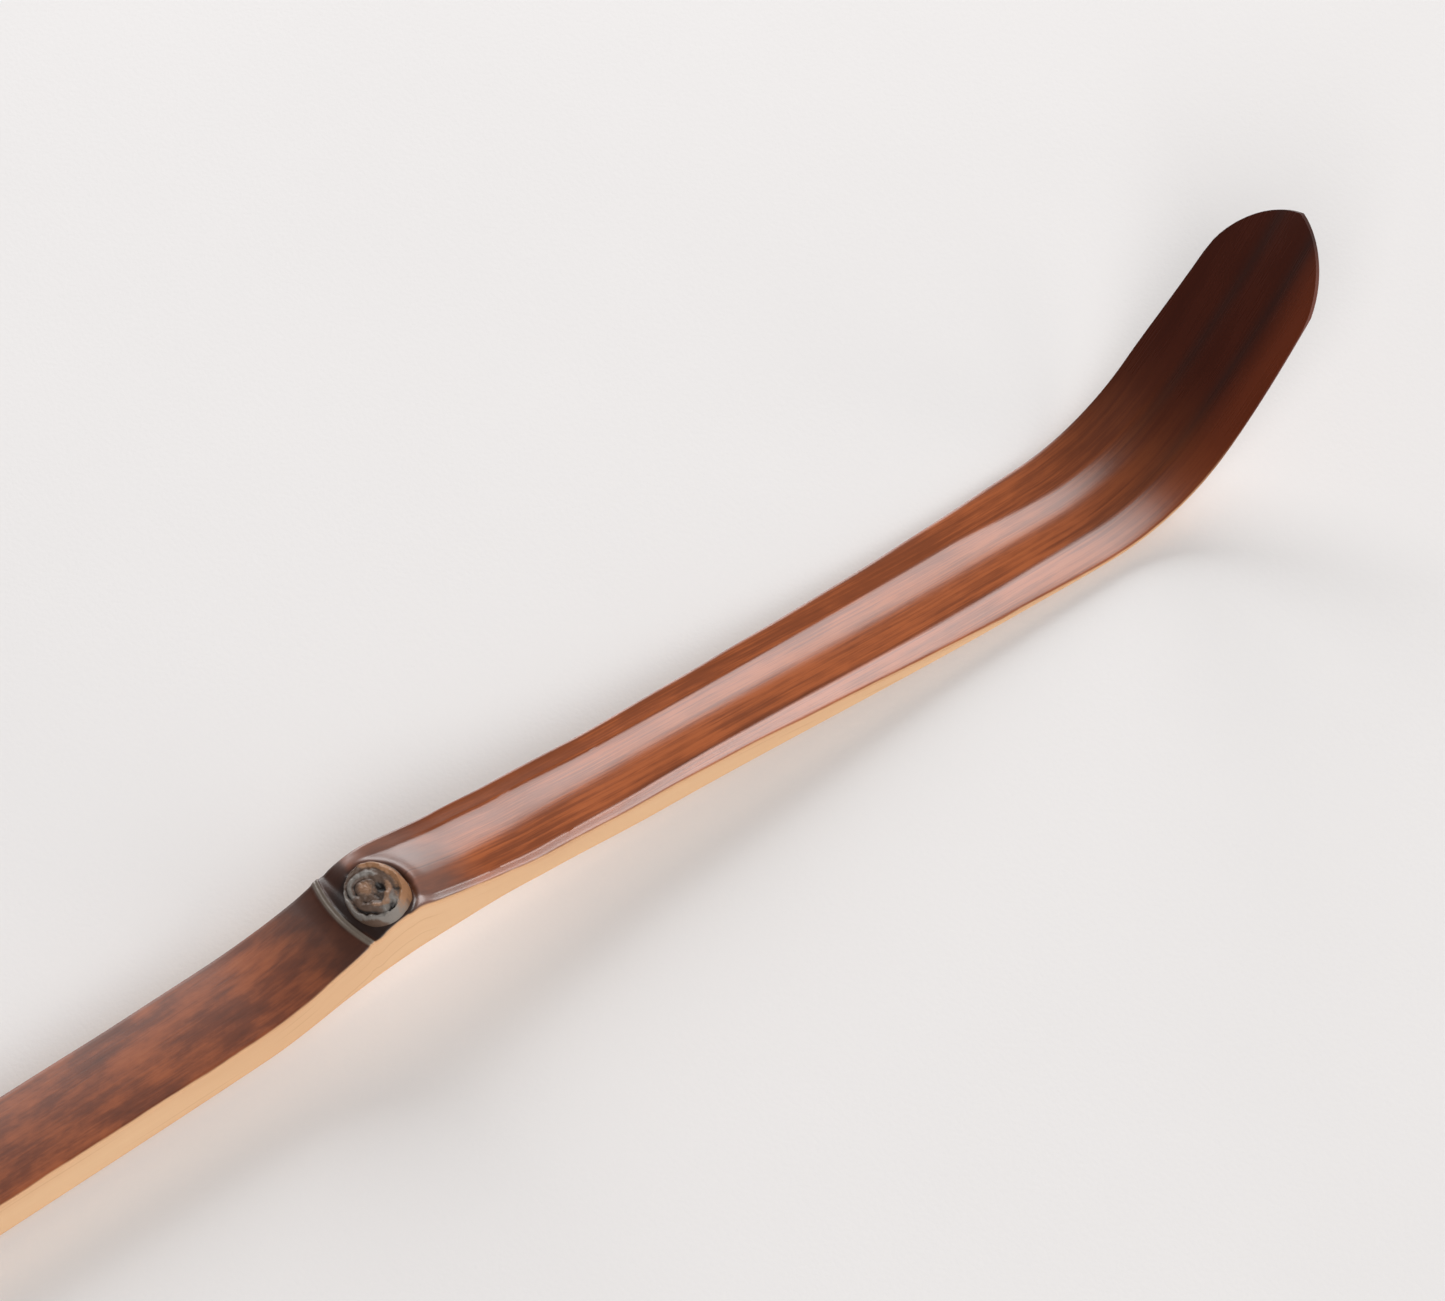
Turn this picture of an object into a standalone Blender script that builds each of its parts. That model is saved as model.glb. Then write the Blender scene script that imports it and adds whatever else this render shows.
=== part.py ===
"""Bamboo tea scoop, carved and bent from one strip of smoked bamboo.

The strip lies along X on the floor, with its handle towards -X and its upturned blade towards +X. It is
a loft of unlike sections: a rounded skin on the handle, a swollen node with a sheath scar and a branch
bud, and a stem whose two grooves run on into the blade. All lengths along the strip are measured from
the sheath scar.
"""

import math
from dataclasses import dataclass, fields

import bmesh
import bpy
from mathutils import Matrix, Vector

MM = 0.001

# Lengths along the strip
HANDLE_LENGTH = 80.0 * MM
HEEL_LENGTH = 9.0 * MM
NECK_LENGTH = 10.0 * MM
SWELLING_CREST = 3.5 * MM
ARCH_PEAK = 11.0 * MM
SHOULDER_LENGTH = 5.0 * MM
FLARE_START = 26.0 * MM
LOW_STEM = 10.0 * MM
STEM_LENGTH = 70.1 * MM
BEND_RADIUS = 16.5 * MM
BEND_ANGLE = math.radians(46)
BLADE_LENGTH = 18.8 * MM
BLADE_CURL = math.radians(12)
TIP_ROUNDING = 6.0 * MM
TIP_POINT = 1.6 * MM

# Widths across the skin
HANDLE_WIDTH = 7.8 * MM
NODE_WIDTH = 7.35 * MM
STEM_WIDTH = 8.1 * MM
BLADE_WIDTH = 12.2 * MM
TIP_TAPER = 1.3 * MM

# Heights of the pared side faces
HANDLE_SIDE = 3.2 * MM
NODE_SIDE = 4.75 * MM
STEM_SIDE = 2.2 * MM
BEND_SIDE = 0.4 * MM
TIP_SIDE = 0.45 * MM
SIDE_LEAN = 0.15 * MM

# How far the underside's centre line arches up between its two resting places
ARCH_RISE = 3.65 * MM

# How far the middle of the skin stands above its arrises
HANDLE_CROWN = 0.25 * MM
NODE_CROWN = 0.5 * MM

# The two grooves, from each arris of the skin to the bottom of its valley, and the ridge between them
FAR_RIM = 1.0 * MM
NEAR_RIM = 1.1 * MM
FLARE_RIM = 1.3 * MM
LOW_FAR_RIM = 2.1 * MM
LOW_NEAR_RIM = 3.0 * MM
BLADE_RIM = 3.6 * MM
RIDGE_START = -1.1 * MM
LOW_RIDGE = 0.2 * MM
GROOVE_DEPTH = 0.6 * MM
BLADE_GROOVE_DEPTH = 0.3 * MM
BLADE_DISH = 0.35 * MM
RIDGE_DROP = 0.1 * MM
CREST_ROUNDING = 0.25

# The sheath scar, a low lip across the skin that bows towards the handle
SCAR_BOW = 0.6 * MM
SCAR_HEIGHT = 0.22 * MM
SCAR_HALF_WIDTH = 0.28 * MM
SCAR_REACH = 2.2 * MM

# The branch bud, a turned knob that leans towards the handle
BUD_RADIUS = 2.4 * MM
BUD_HEIGHT = 0.95 * MM
BUD_ROOT = 1.4 * MM
BUD_AHEAD_OF_SCAR = 2.5 * MM
BUD_OFF_CENTRE = 0.8 * MM
BUD_LEAN = math.radians(20)
BUD_CORE = 1.0 * MM
INNER_HUSK = 1.65 * MM
HUSK_STEP = 0.18 * MM
HUSK_LIP = 0.2 * MM
CREVICE_WIDTH = 0.6 * MM
CREVICE_AHEAD = 0.35 * MM
GROOVE_AHEAD_OF_BUD = 1.5 * MM
BUD_SEGMENTS = 32

# Mesh density
UNDER_SPANS = 8
SKIN_SPANS = 3 * UNDER_SPANS
COARSE_STEP = 3.2 * MM
BLADE_STEP = 1.3 * MM
NODE_STEP = 0.75 * MM
SCAR_STEP = 0.14 * MM

SMOKED_BAMBOO = (0.25, 0.085, 0.04, 1.0)
BAMBOO_ROUGHNESS = 0.36

BEND_LENGTH = BEND_RADIUS * BEND_ANGLE
TIP_AT = STEM_LENGTH + BEND_LENGTH + BLADE_LENGTH
GROOVE_START = BUD_AHEAD_OF_SCAR + BUD_RADIUS + GROOVE_AHEAD_OF_BUD


@dataclass(frozen=True)
class Station:
    """The sizes of the section at one place along the strip."""

    at: float
    width: float
    side: float  # height of the pared side face
    arch: float  # height of the underside's centre line, as a share of the arch's rise
    belly: float  # how far the underside's centre hangs below its edges
    crown: float  # how far the middle of the skin stands above its arrises
    groove: float  # depth of the two valleys
    far_rim: float  # from the +Y arris to its valley
    near_rim: float  # from the -Y arris to its valley
    ridge: float  # where the ridge between the valleys stands, towards +Y


def handle_stations():
    """The handle, from its cut end to the neck below the node."""
    plain = dict(
        belly=0.3 * MM, crown=HANDLE_CROWN, groove=0.0,
        far_rim=FAR_RIM, near_rim=NEAR_RIM, ridge=RIDGE_START,
    )
    flat = {**plain, "belly": 0.0}
    heel_at = HEEL_LENGTH - HANDLE_LENGTH
    return [
        Station(
            at=-HANDLE_LENGTH, width=HANDLE_WIDTH - 0.3 * MM,
            side=HANDLE_SIDE + 0.1 * MM, arch=0.0, **flat,
        ),
        Station(at=heel_at, width=HANDLE_WIDTH, side=HANDLE_SIDE + 0.2 * MM, arch=0.0, **flat),
        Station(
            at=0.5 * (heel_at - NECK_LENGTH), width=HANDLE_WIDTH - 0.1 * MM,
            side=HANDLE_SIDE + 0.4 * MM, arch=0.3, **plain,
        ),
        Station(at=-NECK_LENGTH, width=HANDLE_WIDTH, side=HANDLE_SIDE, arch=0.52, **plain),
    ]


def node_stations():
    """The node, from the foot of the sheath scar over the swelling to where the grooves are whole."""
    ahead = dict(far_rim=FAR_RIM, near_rim=NEAR_RIM, ridge=RIDGE_START)
    return [
        Station(
            at=-SCAR_REACH, width=NODE_WIDTH, side=HANDLE_SIDE + 0.5 * MM, arch=0.72,
            belly=0.35 * MM, crown=HANDLE_CROWN, groove=0.0, **ahead,
        ),
        Station(
            at=SWELLING_CREST, width=NODE_WIDTH, side=NODE_SIDE, arch=0.9,
            belly=0.4 * MM, crown=NODE_CROWN, groove=0.0, **ahead,
        ),
        Station(
            at=GROOVE_START, width=NODE_WIDTH + 0.2 * MM, side=NODE_SIDE - 0.75 * MM, arch=0.97,
            belly=0.4 * MM, crown=0.5 * NODE_CROWN, groove=GROOVE_DEPTH, **ahead,
        ),
    ]


def stem_stations():
    """The grooved stem, from the top of the arch down to the start of the bend."""
    grooved_stem = dict(crown=0.0, groove=GROOVE_DEPTH)
    return [
        Station(
            at=ARCH_PEAK, width=STEM_WIDTH - 0.3 * MM, side=STEM_SIDE + 0.6 * MM, arch=1.0, belly=0.4 * MM,
            far_rim=FAR_RIM, near_rim=NEAR_RIM, ridge=0.6 * RIDGE_START, **grooved_stem,
        ),
        Station(
            at=ARCH_PEAK + SHOULDER_LENGTH, width=STEM_WIDTH, side=STEM_SIDE, arch=0.9, belly=0.45 * MM,
            far_rim=FAR_RIM + 0.1 * MM, near_rim=NEAR_RIM + 0.1 * MM,
            ridge=0.3 * RIDGE_START, **grooved_stem,
        ),
        Station(
            at=FLARE_START, width=STEM_WIDTH + 0.1 * MM, side=STEM_SIDE, arch=0.56, belly=0.5 * MM,
            far_rim=FLARE_RIM, near_rim=FLARE_RIM + 0.2 * MM, ridge=0.0, **grooved_stem,
        ),
        Station(
            at=STEM_LENGTH - LOW_STEM, width=BLADE_WIDTH - 1.3 * MM, side=BEND_SIDE + 0.3 * MM, arch=0.03,
            belly=0.7 * MM, far_rim=LOW_FAR_RIM, near_rim=LOW_NEAR_RIM, ridge=LOW_RIDGE, **grooved_stem,
        ),
    ]


def blade_stations():
    """The bend and the blade, out to the tip."""
    level = dict(arch=0.0)
    even = dict(far_rim=BLADE_RIM, near_rim=BLADE_RIM, ridge=0.0)
    return [
        Station(
            at=STEM_LENGTH, width=BLADE_WIDTH - 0.4 * MM, side=BEND_SIDE, belly=0.75 * MM,
            crown=-0.5 * BLADE_DISH, groove=GROOVE_DEPTH, far_rim=BLADE_RIM - 0.5 * MM, near_rim=BLADE_RIM,
            ridge=LOW_RIDGE, **level,
        ),
        Station(
            at=STEM_LENGTH + BEND_LENGTH, width=BLADE_WIDTH, side=BEND_SIDE, belly=0.7 * MM,
            crown=-BLADE_DISH, groove=BLADE_GROOVE_DEPTH, **even, **level,
        ),
        Station(
            at=TIP_AT, width=BLADE_WIDTH - TIP_TAPER, side=TIP_SIDE, belly=0.25 * MM,
            crown=-0.5 * BLADE_DISH, groove=0.4 * BLADE_GROOVE_DEPTH, **even, **level,
        ),
    ]


def fair_curve(places, values):
    """A smooth curve through the values that never runs past them, as a batten bent round pins."""
    spans = [b - a for a, b in zip(places, places[1:])]
    rises = [(b - a) / span for a, b, span in zip(values, values[1:], spans)]
    slopes = [0.0]
    for before, after in zip(rises, rises[1:]):
        slopes.append(0.0 if before * after <= 0 else 2 * before * after / (before + after))
    slopes.append(0.0)

    def height(place):
        span = 0
        while span < len(spans) - 1 and place > places[span + 1]:
            span += 1
        t = min(max((place - places[span]) / spans[span], 0.0), 1.0)
        start = values[span] * (1 + 2 * t) * (1 - t) ** 2 + values[span + 1] * t * t * (3 - 2 * t)
        turn = slopes[span] * t * (1 - t) ** 2 - slopes[span + 1] * t * t * (1 - t)
        return start + spans[span] * turn

    return height


def fair_lines():
    """One fair curve along the strip for each size of the section."""
    places = handle_stations() + node_stations() + stem_stations() + blade_stations()
    along = [station.at for station in places]
    names = [field.name for field in fields(Station) if field.name != "at"]
    return {name: fair_curve(along, [getattr(station, name) for station in places]) for name in names}


def ease(t):
    """Goes from 0 to 1 with a level start and end."""
    t = min(max(t, 0.0), 1.0)
    return t * t * (3 - 2 * t)


def back_line(at, arch):
    """The underside's centre at this length: its place, and the slope of the strip there."""
    if at <= STEM_LENGTH:
        return Vector((at, 0.0, arch * ARCH_RISE)), 0.0
    turned = min((at - STEM_LENGTH) / BEND_RADIUS, BEND_ANGLE)
    ahead = STEM_LENGTH + BEND_RADIUS * math.sin(turned)
    place = Vector((ahead, 0.0, BEND_RADIUS * (1 - math.cos(turned))))
    beyond = at - STEM_LENGTH - BEND_LENGTH
    if beyond <= 0:
        return place, turned
    curl_radius = BLADE_LENGTH / BLADE_CURL
    slope = BEND_ANGLE + beyond / curl_radius
    place.x += curl_radius * (math.sin(slope) - math.sin(BEND_ANGLE))
    place.z += curl_radius * (math.cos(BEND_ANGLE) - math.cos(slope))
    return place, slope


def wall(t):
    """A straight wall from 0 to 1 whose start is rounded."""
    start = CREST_ROUNDING
    return (math.hypot(t, start) - start) / (math.hypot(1.0, start) - start)


def grooved(across, size):
    """How far the two grooves lower the skin at this place across it: sharp valleys and a rounded ridge."""
    half, depth, ridge = 0.5 * size["width"], size["groove"], size["ridge"]
    far_valley = half - size["far_rim"]
    near_valley = size["near_rim"] - half
    if across >= far_valley:
        return depth * wall((half - across) / size["far_rim"])
    if across <= near_valley:
        return depth * wall((half + across) / size["near_rim"])
    valley = far_valley if across > ridge else near_valley
    ridge_top = depth * RIDGE_DROP / GROOVE_DEPTH
    return ridge_top + (depth - ridge_top) * wall((across - ridge) / (valley - ridge))


def scar_lip(at):
    """Height of the sheath scar's lip at this length."""
    return SCAR_HEIGHT * math.exp(-((at / SCAR_HALF_WIDTH) ** 2))


class Strip:
    """The whole strip as a surface: any place along it and across it gives a point in space."""

    def __init__(self):
        self.lines = fair_lines()

    def sizes(self, at):
        return {name: line(at) for name, line in self.lines.items()}

    def set_back(self, at, share):
        """How far a section's point lies behind it, for the scar's bow and the blunt pointed tip."""
        bow = SCAR_BOW * math.exp(-((at / SCAR_REACH) ** 2)) * (1 - share * share)
        rounding = TIP_ROUNDING * (1 - math.sqrt(max(1 - share * share, 0.0)))
        tip_zone = 2 * (TIP_ROUNDING + TIP_POINT)
        return bow + (rounding + TIP_POINT * abs(share)) * ease((at - TIP_AT + tip_zone) / tip_zone)

    def point(self, at, across, up, share):
        """The point this far across and above the underside's edges, in the section at this length."""
        place = at - self.set_back(at, share)
        size = self.sizes(place)
        back, slope = back_line(place, size["arch"])
        rise = size["belly"] + up
        return back + Vector((-rise * math.sin(slope), across, rise * math.cos(slope)))

    def skin(self, at, share):
        """The point of the skin at this share of the half width, 1 at the +Y arris and -1 at the other."""
        size = self.sizes(at)
        half = 0.5 * size["width"]
        across = share * half
        up = size["side"] + size["crown"] * (1 - share * share) + scar_lip(at)
        up -= grooved(across, size)
        return self.point(at, across, up, share)

    def underside(self, at, share):
        """The point of the underside at this share of its half width."""
        size = self.sizes(at)
        across = share * (0.5 * size["width"] - SIDE_LEAN)
        return self.point(at, across, -size["belly"] * (1 - share * share), share)


def spread(spans):
    """Shares of the half width from 1 to -1, a little closer together towards the arrises."""
    shares = []
    for index in range(spans + 1):
        t = 1 - 2 * index / spans
        shares.append(0.5 * t + 0.5 * math.sin(0.5 * math.pi * t))
    return shares


def section_places():
    """Where the loft has its sections: close together at the scar, the node and the blade."""
    node_start, node_end = -NECK_LENGTH, ARCH_PEAK + SHOULDER_LENGTH
    runs = [
        (-HANDLE_LENGTH, HEEL_LENGTH - HANDLE_LENGTH, COARSE_STEP),
        (HEEL_LENGTH - HANDLE_LENGTH, node_start, COARSE_STEP),
        (node_start, -4 * SCAR_STEP, NODE_STEP),
        (-4 * SCAR_STEP, 4 * SCAR_STEP, SCAR_STEP),
        (4 * SCAR_STEP, node_end, NODE_STEP),
        (node_end, STEM_LENGTH, COARSE_STEP),
        (STEM_LENGTH, TIP_AT, BLADE_STEP),
    ]
    places = [-HANDLE_LENGTH]
    for start, end, step in runs:
        count = max(1, round((end - start) / step))
        places.extend(start + (end - start) * (index + 1) / count for index in range(count))
    return places


def add_end(bm, skin, under, facing_tip):
    """Closes one end of the loft with a row of faces between its skin and its underside."""
    for span in range(UNDER_SPANS):
        first = 3 * span
        corners = [under[span]] + skin[first : first + 4] + [under[span + 1]]
        bm.faces.new(corners if facing_tip else corners[::-1])


def loft_strip():
    """The bare strip as a closed mesh."""
    strip = Strip()
    bm = bmesh.new()
    skins, unders = [], []
    for at in section_places():
        skins.append([bm.verts.new(strip.skin(at, share)) for share in spread(SKIN_SPANS)])
        unders.append([bm.verts.new(strip.underside(at, share)) for share in spread(UNDER_SPANS)])
    rings = [skin + under[::-1] for skin, under in zip(skins, unders)]
    for here, ahead in zip(rings, rings[1:]):
        for index in range(len(here)):
            after = (index + 1) % len(here)
            bm.faces.new((here[index], ahead[index], ahead[after], here[after]))
    add_end(bm, skins[0], unders[0], facing_tip=False)
    add_end(bm, skins[-1], unders[-1], facing_tip=True)
    bmesh.ops.recalc_face_normals(bm, faces=bm.faces[:])
    mesh = bpy.data.meshes.new("tea_scoop")
    bm.to_mesh(mesh)
    bm.free()
    return mesh


def bud_frame():
    """The bud's own frame: its origin on the skin, its axis leaning towards the handle."""
    strip = Strip()
    half = 0.5 * NODE_WIDTH
    seat = strip.skin(BUD_AHEAD_OF_SCAR, -BUD_OFF_CENTRE / half)
    return Matrix.Translation(seat) @ Matrix.Rotation(-BUD_LEAN, 4, "Y")


def bud_profile():
    """Half outline of the bud, from its domed core, over its husk rings, down to its root in the strip."""
    return [
        (0.0, BUD_HEIGHT - HUSK_STEP),
        (0.5 * BUD_CORE, BUD_HEIGHT),
        (BUD_CORE, BUD_HEIGHT - 0.5 * HUSK_STEP),
        (BUD_CORE + 0.4 * (INNER_HUSK - BUD_CORE), BUD_HEIGHT - 1.4 * HUSK_STEP),
        (INNER_HUSK, BUD_HEIGHT - 0.2 * HUSK_STEP),
        (INNER_HUSK + HUSK_LIP, BUD_HEIGHT - 0.6 * HUSK_STEP),
        (INNER_HUSK + 2 * HUSK_LIP, BUD_HEIGHT - 1.8 * HUSK_STEP),
        (BUD_RADIUS - HUSK_LIP, BUD_HEIGHT - 1.2 * HUSK_STEP),
        (BUD_RADIUS, BUD_HEIGHT - 2.6 * HUSK_STEP),
        (BUD_RADIUS, -0.3 * BUD_ROOT),
        (0.85 * BUD_RADIUS, -BUD_ROOT),
        (0.0, -BUD_ROOT),
    ]


def turned_bud():
    """The bud as a closed solid of revolution in its own frame."""
    mesh = bpy.data.meshes.new("bud_tool")
    profile = bud_profile()
    edges = [(index, index + 1) for index in range(len(profile) - 1)]
    mesh.from_pydata([(radius, 0.0, height) for radius, height in profile], edges, [])
    bud = bpy.data.objects.new("bud_tool", mesh)
    bud.matrix_world = bud_frame()
    screw = bud.modifiers.new("turn", "SCREW")
    screw.axis = "Z"
    screw.steps = BUD_SEGMENTS
    screw.render_steps = BUD_SEGMENTS
    screw.use_merge_vertices = True
    screw.merge_threshold = 0.00001
    return bud


def crevice_ring():
    """A thin ring round the bud that bites into the strip only on the side of the blade."""
    bpy.ops.mesh.primitive_torus_add(
        major_radius=BUD_RADIUS,
        minor_radius=0.5 * CREVICE_WIDTH,
        major_segments=BUD_SEGMENTS,
        minor_segments=8,
    )
    ring = bpy.context.object
    ring.name = "crevice_tool"
    ring.matrix_world = bud_frame() @ Matrix.Translation((CREVICE_AHEAD, 0.0, 0.0))
    return ring


def collection(name):
    """A new collection in the scene."""
    made = bpy.data.collections.new(name)
    bpy.context.scene.collection.children.link(made)
    return made


def keep_in(target, obj):
    """Moves the object into this collection alone."""
    for holder in list(obj.users_collection):
        holder.objects.unlink(obj)
    target.objects.link(obj)


def as_tool(target, obj):
    """Makes the object a hidden helper of a Boolean."""
    keep_in(target, obj)
    obj.hide_render = True
    obj.display_type = "WIRE"


def boolean(obj, name, operation, tool):
    """Adds an exact Boolean of the object with the tool."""
    modifier = obj.modifiers.new(name, "BOOLEAN")
    modifier.operation = operation
    modifier.solver = "EXACT"
    modifier.object = tool


def smoked_bamboo():
    """Plain smoked bamboo."""
    material = bpy.data.materials.new("smoked_bamboo")
    material.use_nodes = True
    shader = material.node_tree.nodes["Principled BSDF"]
    shader.inputs["Base Color"].default_value = SMOKED_BAMBOO
    shader.inputs["Roughness"].default_value = BAMBOO_ROUGHNESS
    shader.inputs["Metallic"].default_value = 0.0
    material.diffuse_color = SMOKED_BAMBOO
    return material


def centre_on_floor(objects, measured):
    """Moves all the objects so that the measured one's box is centred on Z and stands on the floor."""
    corners = [measured.matrix_world @ Vector(corner) for corner in measured.bound_box]
    low = Vector(min(corner[axis] for corner in corners) for axis in range(3))
    high = Vector(max(corner[axis] for corner in corners) for axis in range(3))
    shift = Vector((-0.5 * (low.x + high.x), -0.5 * (low.y + high.y), -low.z))
    for obj in objects:
        obj.matrix_world = Matrix.Translation(shift) @ obj.matrix_world


def main():
    for obj in list(bpy.data.objects):
        bpy.data.objects.remove(obj)
    parts = collection("bamboo_tea_scoop")
    tools = collection("tools")

    scoop = bpy.data.objects.new("tea_scoop", loft_strip())
    parts.objects.link(scoop)
    scoop.data.materials.append(smoked_bamboo())
    crevice = crevice_ring()
    bud = turned_bud()
    as_tool(tools, crevice)
    as_tool(tools, bud)
    boolean(scoop, "crevice", "DIFFERENCE", crevice)
    boolean(scoop, "bud", "UNION", bud)
    bpy.context.view_layer.update()
    centre_on_floor([scoop, crevice, bud], scoop)
    scoop.data.shade_smooth()
    scoop.data.set_sharp_from_angle(angle=math.radians(35))


main()
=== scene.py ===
"""Bamboo tea scoop, carved and bent from one strip of smoked bamboo.

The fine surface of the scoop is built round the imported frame: the strip with its grooves, sheath
scar and upturned blade, and the branch bud on its node. A pale floor, three softboxes and the
camera complete the scene.
"""

import logging
import math
from collections.abc import Callable, Mapping, Sequence
from dataclasses import dataclass, field, fields
from enum import Enum

import bmesh
import bpy
import numpy as np
from mathutils import Matrix, Vector, noise


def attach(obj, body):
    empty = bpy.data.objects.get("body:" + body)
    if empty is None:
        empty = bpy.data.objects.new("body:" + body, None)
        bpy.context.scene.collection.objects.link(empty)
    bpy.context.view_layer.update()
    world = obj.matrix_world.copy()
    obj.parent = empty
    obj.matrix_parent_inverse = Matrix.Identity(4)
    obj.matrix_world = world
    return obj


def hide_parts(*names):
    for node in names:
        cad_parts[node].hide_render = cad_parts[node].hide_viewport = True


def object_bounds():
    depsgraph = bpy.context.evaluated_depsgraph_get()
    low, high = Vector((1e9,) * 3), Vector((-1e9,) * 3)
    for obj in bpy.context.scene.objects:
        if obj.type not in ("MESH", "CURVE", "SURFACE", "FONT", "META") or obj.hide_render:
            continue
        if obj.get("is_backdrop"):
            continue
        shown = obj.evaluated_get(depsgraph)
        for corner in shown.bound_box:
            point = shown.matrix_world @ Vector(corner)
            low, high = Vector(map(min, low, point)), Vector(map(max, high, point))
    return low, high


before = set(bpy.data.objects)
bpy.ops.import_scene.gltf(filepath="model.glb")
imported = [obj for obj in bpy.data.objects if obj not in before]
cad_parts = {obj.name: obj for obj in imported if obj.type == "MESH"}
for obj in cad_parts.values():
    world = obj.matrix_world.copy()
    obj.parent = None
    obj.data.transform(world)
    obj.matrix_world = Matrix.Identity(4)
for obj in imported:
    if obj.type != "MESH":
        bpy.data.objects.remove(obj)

LOG = logging.getLogger("tea_scoop")

MM = 0.001
BODY = "root"
SCOOP_NODE = "tea_scoop"

Colour = tuple[float, float, float]
Stops = Sequence[tuple[float, Colour]]
Span = tuple[float, float]
Curve = Callable[[np.ndarray], np.ndarray]


class Arithmetic(Enum):
    """The sums that a shader value can take part in."""

    ADD = "ADD"
    SUBTRACT = "SUBTRACT"
    MULTIPLY = "MULTIPLY"
    DIVIDE = "DIVIDE"
    POWER = "POWER"
    GREATER = "MAXIMUM"
    ABSOLUTE = "ABSOLUTE"
    SQUARE_ROOT = "SQRT"


class Blend(Enum):
    """How one colour is laid over another."""

    COVER = "MIX"
    STAIN = "MULTIPLY"


@dataclass(frozen=True)
class Pattern:
    """Marks over a surface: how many to a unit along each axis, and their finer layers."""

    scale: Colour
    layers: float = 3.0
    strength: float = 0.5


def operator(kind: Arithmetic, swapped: bool = False) -> Callable[["Wire", object], "Wire"]:
    """Makes an operator for wires, which adds one Math node.

    Args:
        kind: The sum to do.
        swapped: Whether the wire is the second of the two values, as in 1 - mask.

    Returns:
        The operator.
    """

    def work(wire: "Wire", other: object) -> "Wire":
        """Adds the node for a wire and another value."""
        return wire.sum(kind, other, wire) if swapped else wire.sum(kind, wire, other)

    return work


class Wire:
    """A value in a finish's shader: a node's output socket that takes part in arithmetic."""

    __add__, __radd__ = operator(Arithmetic.ADD), operator(Arithmetic.ADD, swapped=True)
    __sub__, __rsub__ = operator(Arithmetic.SUBTRACT), operator(Arithmetic.SUBTRACT, swapped=True)
    __mul__, __rmul__ = operator(Arithmetic.MULTIPLY), operator(Arithmetic.MULTIPLY, swapped=True)
    __truediv__ = operator(Arithmetic.DIVIDE)
    __rtruediv__ = operator(Arithmetic.DIVIDE, swapped=True)
    __pow__ = operator(Arithmetic.POWER)
    at_least = operator(Arithmetic.GREATER)

    def __init__(self, graph: "Graph", socket: bpy.types.NodeSocket) -> None:
        """Holds the socket and the graph that it belongs to."""
        self.graph = graph
        self.socket = socket

    def sum(self, kind: Arithmetic, first: object, second: object = 0.0) -> "Wire":
        """Adds one Math node for two values, each a wire or a number."""
        return self.graph.node("ShaderNodeMath", {"operation": kind.value}, {0: first, 1: second})

    def __abs__(self) -> "Wire":
        """The size of this value."""
        return self.sum(Arithmetic.ABSOLUTE, self)

    def root(self) -> "Wire":
        """The square root of this value."""
        return self.sum(Arithmetic.SQUARE_ROOT, self)


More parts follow.
